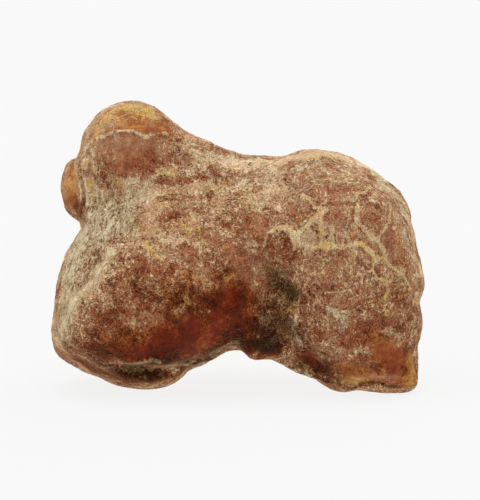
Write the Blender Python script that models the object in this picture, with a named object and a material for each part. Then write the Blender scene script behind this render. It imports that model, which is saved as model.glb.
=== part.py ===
"""A raw lump of amber: one piece of resin that set as a run of swellings, then cracked and wore round.

+X runs along the lump, +Y through it from its showing side, +Z up. It lies on worn flats at Z = 0,
and the origin is under the middle of its length and depth. All sizes below are in millimetres, and the
finished lump is scaled to metres.
"""

import bpy
import bmesh
import numpy as np
from mathutils import Euler, Matrix, Vector, noise

MM = 0.001

TRIANGLES = 9400
EVEN_FACE = 0.7  # how wide a face is while the lump is worked

BLEND_THRESHOLD = 0.6
BLEND_STIFFNESS = 4.0  # how closely neighbouring swellings keep their own shape

# The round swellings of the run: name, middle and half lengths.
SWELLINGS = (
    ("left bulge", (-12.0, -1.0, 13.8), (14.2, 13.4, 12.4)),
    ("left shoulder", (-13.5, 1.5, 25.0), (11.0, 10.5, 9.0)),
    ("left foot", (-13.5, 4.5, 6.2), (10.0, 9.0, 6.2)),
    ("middle", (-1.0, 1.5, 22.0), (12.5, 12.0, 11.5)),
    ("keel", (2.0, -0.5, 12.5), (9.5, 10.0, 8.0)),
    ("head", (-16.5, 1.5, 36.0), (7.2, 7.5, 7.2)),
    ("nape", (-9.5, 2.5, 33.5), (8.5, 7.0, 5.5)),
    ("side lobe", (-22.2, 6.5, 29.8), (4.0, 5.0, 5.0)),
    ("right foot", (19.5, -1.0, 6.5), (8.0, 9.0, 6.8)),
    ("right heel", (11.0, 0.5, 9.0), (8.5, 9.5, 7.0)),
    ("back swell", (3.0, 7.5, 13.0), (11.0, 7.0, 8.0)),
)

# The squarer masses: name, middle, half lengths, turns about X, Y and Z in degrees, and edge radius.
BLOCKS = (
    ("right block", (14.0, 0.5, 21.0), (11.5, 12.0, 12.5), (4, 6, -10), 8.5),
    ("right flank", (18.5, 0.5, 13.0), (8.5, 11.5, 10.0), (0, 0, 12), 7.5),
)

# The edge of the lump from its showing side, as points on a smooth closed curve: across and up.
OUTLINE = (
    # up the right end, with its scallops
    (27.0, 0.5), (27.5, 3.3), (27.4, 6.8), (28.1, 10.2), (27.8, 13.5), (28.3, 16.5), (27.6, 19.8),
    (26.8, 23.2), (26.1, 26.7),
    # over the right block and the saddle
    (24.4, 30.0), (22.5, 31.5), (19.9, 33.4), (16.9, 35.1), (13.2, 36.1), (10.0, 35.9), (7.0, 35.2),
    (3.6, 35.1), (0.3, 35.5), (-3.0, 36.8), (-6.0, 38.1),
    # round the head
    (-8.2, 39.3), (-9.9, 41.2), (-11.7, 42.6), (-13.9, 43.2), (-16.3, 43.6), (-18.9, 42.9),
    (-20.7, 41.5), (-22.3, 39.8), (-23.4, 37.8), (-23.8, 35.5),
    # round the side lobe
    (-25.2, 34.6), (-26.1, 32.7), (-26.6, 30.1), (-25.9, 27.3), (-24.4, 25.3), (-23.1, 25.1),
    # down the left end
    (-24.3, 22.9), (-25.6, 20.6), (-26.7, 17.6), (-27.3, 14.2), (-27.8, 10.5), (-27.8, 7.0),
    # under the left foot, the arch and the right foot
    (-26.4, 4.7), (-24.0, 3.1), (-20.9, 1.7), (-17.7, 0.7), (-14.4, 0.2), (-11.2, 0.8), (-8.7, 1.9),
    (-6.9, 2.9), (-4.5, 3.7), (-2.4, 4.9), (0.0, 5.9), (1.2, 5.0), (3.0, 4.4), (5.2, 4.5), (6.9, 3.2),
    (9.3, 2.1), (12.0, 1.1), (14.1, 0.3), (16.1, 0.2), (18.6, 0.5), (21.0, 0.3), (23.2, 0.0),
    (25.5, 0.0),
)
HEART = np.array([0.5, 20.0])  # the point in the outline from which all of its edge can be seen
SEEN_FROM = 400.0  # the outline is the edge seen from this far in front of the lump's middle
SEEN_DOWN = np.radians(8.0)  # and from this much above it
SEEN_MIDDLE = 21.0
TURN = 2 * np.pi
SECTORS = 180
WHOLE_HOLD = 2  # while the lump takes shape, all of it follows its edge
EDGE_HOLD = 12  # at the end only the edge is drawn onto the outline

# Worn faces: name, a point on the face, which way it looks, how far it reaches and how flat it is.
FACETS = (
    ("front of the right block", (15.0, -12.0, 20.0), (0.05, -1.0, 0.05), 12.0, 0.8),
    ("shoulder of the right block", (19.0, -8.0, 32.0), (0.45, -0.35, 0.82), 8.0, 0.6),
    ("right end", (27.3, 1.0, 17.0), (1.0, 0.1, 0.0), 10.0, 0.6),
    ("crown of the head", (-16.5, 0.0, 42.2), (0.1, -0.45, 0.88), 6.0, 0.85),
    ("face of the head", (-16.5, -5.0, 35.0), (-0.1, -1.0, 0.0), 5.5, 0.85),
    ("left end", (-26.8, -2.0, 11.5), (-1.0, -0.25, 0.0), 8.0, 0.6),
    ("back of the bulge", (-12.0, 12.0, 20.0), (-0.15, 1.0, 0.15), 9.0, 0.8),
    ("back of the right block", (15.0, 12.4, 24.0), (0.25, 1.0, 0.3), 9.0, 0.8),
    ("sole of the left foot", (-13.0, 5.0, 0.7), (0.0, 0.0, -1.0), 6.5, 0.9),
    ("sole of the right foot", (20.0, 0.0, 0.6), (0.0, 0.0, -1.0), 6.5, 0.9),
)
FACET_THICKNESS = 6.0  # how far behind a worn face the lump may still be drawn onto it

# Strokes that press the lump in or draw it out: name, the path, how wide, and how far it moves.
STROKES = (
    ("head of the valley", ((2.0, -12, 27), (3.8, -11.5, 21.5)), 2.6, (0.2, 0.8, 0)),
    ("valley", ((4.4, -11, 19), (6.0, -9.5, 13), (7.0, -8, 8.5)), 3.4, (0.3, 1.3, 0)),
    ("valley floor", ((5.8, -9.5, 15.5), (7.4, -8.5, 9.0)), 2.4, (0.1, 0.8, 0)),
    ("neck", ((-24, -2, 28), (-19.5, -7, 29.5), (-15.0, -8.5, 31.5)), 2.8, (0.2, 1.6, -0.2)),
    ("side cleft", ((-23.6, 3.2, 25.5), (-23.2, 2.2, 30.0), (-22.8, 2.6, 34.5)), 1.5, (1.5, 0.9, 0)),
    ("head's edge", ((-22.6, -0.5, 37.5), (-22.9, -1, 32), (-22.4, -1.5, 27.5)), 1.4, (-0.6, -0.6, 0)),
    ("under the lip", ((-16.5, -8.5, 3.0), (-12.5, -9, 3.4), (-7.0, -8, 3.6)), 2.2, (0, 2.4, 0.9)),
    ("lip", ((-16.7, -11, 4.6), (-13.2, -11.5, 5.8), (-8.7, -11, 5.2), (-5, -9, 5.4)), 1.2, (0, -0.9, 0)),
    ("drip", ((2.2, -8, 6.8), (4.8, -7.5, 6.6)), 1.9, (0, -1.6, -0.9)),
    ("beside the drip", ((0.0, -8, 7.2), (-0.6, -6, 6.5)), 1.5, (0, 0.9, 0.9)),
    ("under the foot", ((6.8, -6.5, 4.0), (10.5, -7.5, 2.6), (14.5, -8.0, 0.8)), 1.9, (0, 2.2, 0.7)),
    ("foot's edge", ((9.5, -9.5, 4.6), (12.5, -9.5, 2.8), (15.0, -9.5, 2.0)), 1.2, (0, -0.8, 0)),
    ("foot's notch", ((20.0, -9.0, 1.6), (23.5, -8.5, 1.9)), 1.2, (0, 1.9, 0.2)),
    ("saddle", ((-3.0, -9, 30), (4.0, -10, 29)), 5.0, (0, 1.4, -0.6)),
    ("brow", ((-22.0, -3.0, 38.2), (-16.5, -5.0, 38.6), (-11.5, -3.5, 38.2)), 1.1, (0, -0.6, 0.3)),
    ("hollow of the back", ((-4.0, 12.5, 20), (3.5, 13.0, 14)), 4.0, (0, -2.0, 0)),
    ("ledge of the back", ((8.0, 13.5, 8), (15.0, 13.0, 10.5), (21.0, 11.0, 9.5)), 2.2, (0, 1.3, 0)),
    ("under the back ledge", ((10.0, 12.5, 4), (17.0, 11.5, 5)), 2.2, (0, -1.4, 0.6)),
    ("nick in the back", ((-20.0, 9.5, 13), (-16.0, 12.0, 10)), 1.8, (0.3, -1.6, 0)),
    ("hollow of the right end", ((26.0, 2.0, 24), (26.5, 6.5, 17)), 3.2, (-1.2, -0.4, 0)),
    ("nick of the right end", ((26.5, -6.5, 15.0), (27.5, -1.0, 13.0)), 1.4, (-0.8, 0.2, 0)),
    ("lower nick of the right end", ((27.0, 1.0, 7.5), (25.5, 7.5, 5.5)), 1.6, (-1.0, -0.3, 0)),
    ("hollow beneath", ((-4.0, -1.0, 4.5), (9.0, 1.5, 3.5)), 4.0, (0, 0, 1.4)),
)

# Weathering over the whole lump: how wide its bumps are and how high.
BUMPS = ((8.0, 0.55), (3.4, 0.3))
# Where the crust broke up and is rougher: the path, how wide, and how much higher its bumps are.
ROUGH = (
    (((5.5, -10, 19), (8.0, -8.5, 9)), 3.5, 1.0),
    (((10.0, -9, 6), (20.0, -9, 3)), 3.0, 1.2),
    (((-19.0, -6, 33), (-12.0, -7, 32)), 3.0, 0.8),
)
# Pits: where each is, how wide and how deep.
PITS = (
    ((-23.6, -6.0, 14.8), 0.9, 0.9),
    ((-24.4, -5.0, 12.8), 0.8, 0.7),
    ((-26.0, -3.5, 9.6), 0.9, 0.6),
    ((-21.5, -9.0, 12.0), 0.8, 0.6),
    ((20.6, -8.5, 32.6), 1.0, 1.0),
    ((4.6, -10.0, 15.6), 1.2, 0.9),
    ((17.6, -12.5, 12.2), 0.9, 0.6),
    ((12.0, 13.0, 19.0), 1.1, 0.9),
    ((14.2, 13.0, 16.6), 0.8, 0.7),
    ((-9.0, 12.5, 15.0), 1.0, 0.8),
)

# What the lump lies on: the middle of each worn flat, and how far round it the lump is drawn down.
FEET = (
    ("left flat", (-13.0, 5.0), 6.0),
    ("right flat", (20.0, 0.0), 7.0),
)
FOOT_HEIGHT = 5.0
FOOT_WEAR = 0.9  # how much is worn off each foot


def set_resin():
    """One closed mesh of the swellings and blocks, flowed together."""
    resin = bpy.data.metaballs.new("resin")
    resin.resolution = 1.0
    resin.threshold = BLEND_THRESHOLD
    reach = (1 - (BLEND_THRESHOLD / BLEND_STIFFNESS) ** (1 / 3)) ** -0.5
    for _, middle, half in SWELLINGS:
        swelling = resin.elements.new(type="ELLIPSOID")
        swelling.co = middle
        swelling.size_x, swelling.size_y, swelling.size_z = half
        swelling.radius = reach
        swelling.stiffness = BLEND_STIFFNESS
    for _, middle, half, turns, edge in BLOCKS:
        block = resin.elements.new(type="CUBE")
        block.co = middle
        block.rotation = Euler(np.radians(turns)).to_quaternion()
        block.size_x, block.size_y, block.size_z = (length - edge for length in half)
        block.radius = edge * reach
        block.stiffness = BLEND_STIFFNESS
    blob = bpy.data.objects.new("resin", resin)
    bpy.context.collection.objects.link(blob)
    bpy.context.view_layer.update()
    graph = bpy.context.evaluated_depsgraph_get()
    mesh = bpy.data.meshes.new_from_object(blob.evaluated_get(graph))
    bpy.data.objects.remove(blob)
    return mesh


def apply_modifier(obj, kind, **settings):
    """Gives the object the mesh that one modifier makes of its own."""
    modifier = obj.modifiers.new(kind.title(), kind)
    for name, value in settings.items():
        setattr(modifier, name, value)
    graph = bpy.context.evaluated_depsgraph_get()
    mesh = bpy.data.meshes.new_from_object(obj.evaluated_get(graph))
    obj.modifiers.clear()
    obj.data = mesh


def rework(obj, shape, *details):
    """Moves the object's points to where shape puts them."""
    co = np.empty(len(obj.data.vertices) * 3)
    obj.data.vertices.foreach_get("co", co)
    obj.data.vertices.foreach_set("co", shape(co.reshape(-1, 3), *details).ravel())
    obj.data.update()


def smooth_loop(points, steps=8):
    """A closed Catmull-Rom curve through the points."""
    here = np.array(points, float)
    before, after, later = np.roll(here, 1, 0), np.roll(here, -1, 0), np.roll(here, -2, 0)
    bend = 2 * before - 5 * here + 4 * after - later
    twist = 3 * here - before - 3 * after + later
    t = (np.arange(steps) / steps)[:, None]
    pace = after - before
    curve = here[:, None] + (pace[:, None] * t + bend[:, None] * t**2 + twist[:, None] * t**3) / 2
    return curve.reshape(-1, 2)


def polar(plane):
    """Angles and distances about the heart."""
    offset = plane - HEART
    return np.arctan2(offset[:, 1], offset[:, 0]), np.hypot(offset[:, 0], offset[:, 1])


def fit_outline(co, hold):
    """Draws the points in or out from the heart to put the edge of the showing side on the outline.

    A higher hold leaves more of what lies inside the edge where it is.
    """
    down, level = np.sin(SEEN_DOWN), np.cos(SEEN_DOWN)
    height = co[:, 2] * level + co[:, 1] * down
    away = co[:, 1] * level - (co[:, 2] - SEEN_MIDDLE) * down
    nearness = SEEN_FROM / (SEEN_FROM + away)
    plane = np.stack((co[:, 0] * nearness, SEEN_MIDDLE + (height - SEEN_MIDDLE) * nearness), 1)
    angle, radius = polar(plane)
    sector = ((angle / TURN + 0.5) * SECTORS).astype(int) % SECTORS
    reach = np.zeros(SECTORS)
    np.maximum.at(reach, sector, radius)
    middles = ((np.arange(SECTORS) + 0.5) / SECTORS - 0.5) * TURN
    edge_angle, edge_radius = polar(smooth_loop(OUTLINE))
    stretch = np.interp(middles, edge_angle, edge_radius, period=TURN) / reach
    stretch = (np.roll(stretch, 1) + 2 * stretch + np.roll(stretch, -1)) / 4
    share = np.clip(radius / np.interp(angle, middles, reach, period=TURN), 0, 1) ** hold
    scale = 1 + (np.interp(angle, middles, stretch, period=TURN) - 1) * share
    plane = HEART + (plane - HEART) * scale[:, None]
    height = SEEN_MIDDLE + (plane[:, 1] - SEEN_MIDDLE) / nearness
    return np.stack((plane[:, 0] / nearness, co[:, 1], (height - co[:, 1] * down) / level), 1)


def wear_facets(co):
    """Draws what stands proud of each worn face back towards it."""
    for _, point, looks, reach, flatness in FACETS:
        looks = np.array(looks) / np.linalg.norm(looks)
        proud = (co - point) @ looks
        aside = np.linalg.norm(co - point - proud[:, None] * looks, axis=1)
        share = flatness * np.exp(-((aside / reach) ** 4)) * (proud > -FACET_THICKNESS)
        co = co - looks * (np.clip(proud, 0, None) * share)[:, None]
    return co


def distance_to(path, co):
    """How far each point is from a path of straight runs."""
    path = np.array(path, float)
    nearest = np.full(len(co), np.inf)
    for start, end in zip(path[:-1], path[1:]):
        run = end - start
        along = np.clip((co - start) @ run / (run @ run), 0, 1)
        nearest = np.minimum(nearest, np.linalg.norm(co - start - along[:, None] * run, axis=1))
    return nearest


def work_strokes(co):
    for _, path, width, push in STROKES:
        co = co + np.exp(-((distance_to(path, co) / width) ** 2))[:, None] * np.array(push)
    return co


def weather(co, normals):
    """Bumps all over, higher where the crust broke up, and a few pits."""
    height = np.zeros(len(co))
    for width, high in BUMPS:
        height += high * np.array([noise.noise(point / width) for point in map(Vector, co)])
    for path, width, more in ROUGH:
        height *= 1 + more * np.exp(-((distance_to(path, co) / width) ** 2))
    for place, width, deep in PITS:
        height -= deep * np.exp(-((np.linalg.norm(co - place, axis=1) / width) ** 4))
    return co + normals * height[:, None]


def normals_of(mesh):
    normals = np.empty(len(mesh.vertices) * 3)
    mesh.vertex_normals.foreach_get("vector", normals)
    return normals.reshape(-1, 3)


def set_feet(co):
    """Draws the lump down at each foot, to FOOT_WEAR below Z = 0."""
    for _, middle, reach in FEET:
        aside = np.linalg.norm(co[:, :2] - middle, axis=1)
        low = co[aside < reach, 2].min()
        share = np.exp(-((aside / reach) ** 4) - (np.clip(co[:, 2], 0, None) / FOOT_HEIGHT) ** 2)
        co[:, 2] -= (low + FOOT_WEAR) * share
    return co


def wear_flats(mesh):
    """Cuts the feet off at Z = 0 and closes them with flats."""
    form = bmesh.new()
    form.from_mesh(mesh)
    every = form.verts[:] + form.edges[:] + form.faces[:]
    bmesh.ops.bisect_plane(form, geom=every, plane_co=(0, 0, 0), plane_no=(0, 0, -1), clear_outer=True)
    bmesh.ops.holes_fill(form, edges=[edge for edge in form.edges if edge.is_boundary])
    bmesh.ops.recalc_face_normals(form, faces=form.faces)
    form.to_mesh(mesh)
    form.free()


def centre(co):
    """Puts the origin under the middle of the lump's length and depth."""
    middle = (co.min(axis=0) + co.max(axis=0)) / 2
    return co - (middle[0], middle[1], co[:, 2].min())


def resin_material():
    material = bpy.data.materials.new("weathered amber")
    material.use_nodes = True
    shader = material.node_tree.nodes["Principled BSDF"]
    shader.inputs["Base Color"].default_value = (0.30, 0.10, 0.045, 1)
    shader.inputs["Roughness"].default_value = 0.45
    shader.inputs["Metallic"].default_value = 0.0
    shader.inputs["IOR"].default_value = 1.54
    return material


for old in list(bpy.data.objects):
    bpy.data.objects.remove(old)

amber = bpy.data.objects.new("amber", set_resin())
bpy.context.collection.objects.link(amber)
apply_modifier(amber, "REMESH", mode="VOXEL", voxel_size=EVEN_FACE)
rework(amber, wear_facets)
for _ in range(3):
    rework(amber, fit_outline, WHOLE_HOLD)
    apply_modifier(amber, "SMOOTH", iterations=3, factor=0.5)
rework(amber, work_strokes)
apply_modifier(amber, "SMOOTH", iterations=1, factor=0.5)
rework(amber, weather, normals_of(amber.data))
rework(amber, fit_outline, EDGE_HOLD)
rework(amber, set_feet)
apply_modifier(amber, "DECIMATE", ratio=TRIANGLES / (2 * len(amber.data.polygons)))
wear_flats(amber.data)
rework(amber, centre)
amber.data.transform(Matrix.Scale(MM, 4))
amber.data.shade_smooth()
amber.data.materials.append(resin_material())
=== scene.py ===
"""The looks of a raw lump of amber: red-brown resin under a tan, weathered crust, with clear windows."""

import math

import bpy
import numpy as np
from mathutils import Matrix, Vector
from mathutils.bvhtree import BVHTree


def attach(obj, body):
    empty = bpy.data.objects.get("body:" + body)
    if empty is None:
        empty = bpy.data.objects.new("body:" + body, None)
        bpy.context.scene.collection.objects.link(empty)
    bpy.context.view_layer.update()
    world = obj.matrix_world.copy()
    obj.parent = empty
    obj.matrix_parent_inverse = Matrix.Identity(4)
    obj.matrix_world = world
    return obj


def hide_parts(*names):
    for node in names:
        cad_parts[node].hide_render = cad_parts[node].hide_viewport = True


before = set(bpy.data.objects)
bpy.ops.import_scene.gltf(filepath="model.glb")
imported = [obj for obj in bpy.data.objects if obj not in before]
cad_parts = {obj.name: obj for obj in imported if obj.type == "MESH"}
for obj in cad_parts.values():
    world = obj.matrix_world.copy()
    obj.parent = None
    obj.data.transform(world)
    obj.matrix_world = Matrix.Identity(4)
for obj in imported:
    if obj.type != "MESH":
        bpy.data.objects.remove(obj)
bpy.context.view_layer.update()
scene = bpy.context.scene


# ---------------------------------------------------------------------------------------------------------
# The camera. It looks at the lump's showing side from a little above, along a long lens, and takes in a
# height of 75 mm, so that the lump fills about three quarters of the width.
# ---------------------------------------------------------------------------------------------------------
MM = 0.001
SEEN_FROM = 400 * MM
SEEN_DOWN = math.radians(8)
SEEN_AT = Vector((0.3, 0.0, 21.2)) * MM
SEEN_HEIGHT = 75 * MM
SENSOR = 36.0

seen_up = Vector((0, math.sin(SEEN_DOWN), math.cos(SEEN_DOWN)))
eye = SEEN_AT + Vector((0, -math.cos(SEEN_DOWN), math.sin(SEEN_DOWN))) * SEEN_FROM
bpy.ops.object.camera_add(location=eye, rotation=(math.pi / 2 - SEEN_DOWN, 0, 0))
camera = bpy.context.object
camera.data.sensor_width = SENSOR
camera.data.lens = SENSOR * SEEN_FROM / SEEN_HEIGHT
camera.data.clip_start = 0.01
camera.data.clip_end = 20
scene.camera = camera


# ---------------------------------------------------------------------------------------------------------
# The lump: one piece of resin. Its skin weathered to a crust that crumbled, cracked and rubbed off,
# so the fine mesh is taken from the solid, then roughened where the crust is and left smooth where it went.
# ---------------------------------------------------------------------------------------------------------
FINE = 0.305 * MM  # how wide a face of the fine mesh is
SAME = 0.0001 * MM  # how near two points of the solid are merged
SMOOTHING = 7
MIDDLE = (0.3, 21.0)  # the place across and up, in mm, that the middle of the view shows
FAR = 400 * MM  # where the back is looked at from


def modify(piece, kind, **settings):
    """Puts one modifier on the piece and applies it."""
    bpy.context.view_layer.objects.active = piece
    modifier = piece.modifiers.new(kind.title(), kind)
    for name, value in settings.items():
        setattr(modifier, name, value)
    bpy.ops.object.modifier_apply(modifier=modifier.name)


def points_of(piece):
    """Where the piece's points are, one row each."""
    points = np.empty(len(piece.data.vertices) * 3)
    piece.data.vertices.foreach_get("co", points)
    return points.reshape(-1, 3)


def normals_of(piece):
    """Which way the piece's skin looks at each point."""
    normals = np.empty(len(piece.data.vertices) * 3)
    piece.data.vertex_normals.foreach_get("vector", normals)
    return normals.reshape(-1, 3)


def move(piece, points):
    """Puts the piece's points at these places."""
    piece.data.vertices.foreach_set("co", points.ravel())
    piece.data.update()


bpy.ops.object.select_all(action="DESELECT")
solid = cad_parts["amber"]
solid.select_set(True)
bpy.context.view_layer.objects.active = solid
bpy.ops.object.duplicate()
lump = bpy.context.object
lump.name = lump.data.name = "amber_lump"
for tag in list(lump.keys()):
    del lump[tag]
bpy.ops.object.mode_set(mode="EDIT")
bpy.ops.mesh.select_all(action="SELECT")
bpy.ops.mesh.remove_doubles(threshold=SAME)
bpy.ops.object.mode_set(mode="OBJECT")
modify(lump, "REMESH", mode="VOXEL", voxel_size=FINE)
modify(lump, "SMOOTH", factor=0.5, iterations=SMOOTHING)
bpy.ops.object.shade_smooth()

even = points_of(lump)
looks = normals_of(lump)
skin = BVHTree.FromObject(lump, bpy.context.evaluated_depsgraph_get())


def spot(across, up, behind):
    """The point of the skin that shows at a place across and up the showing side, or the back, in mm."""
    place = SEEN_AT + Vector(((across - MIDDLE[0]) * MM, 0, 0)) + seen_up * (up - MIDDLE[1]) * MM
    start = Vector((place.x, FAR, place.z)) if behind else eye
    hit = skin.ray_cast(start, (place - start).normalized())[0]
    return np.array(hit or skin.find_nearest(place)[0])


def nearness(path, width, behind):
    """1 along a path of places on the skin, falling to 0 over its width."""
    path = [spot(*place, behind) for place in path]
    nearest = np.full(len(even), np.inf)
    for start, end in zip(path, path[1:] + path[-1:]):
        run = end - start
        along = np.clip((even - start) @ run / max(run @ run, 1e-12), 0, 1)
        nearest = np.minimum(nearest, np.linalg.norm(even - start - along[:, None] * run, axis=1))
    return np.exp(-((nearest / (width * MM)) ** 2))


def painted(ground, front, back):
    """For each point of the fine mesh, a ground and the strokes on the showing side and on the back."""
    total = np.full(len(even), ground)
    for strokes, behind in ((front, False), (back, True)):
        for strength, width, *path in strokes:
            total += strength * nearness(path, width, behind)
    return total


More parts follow.
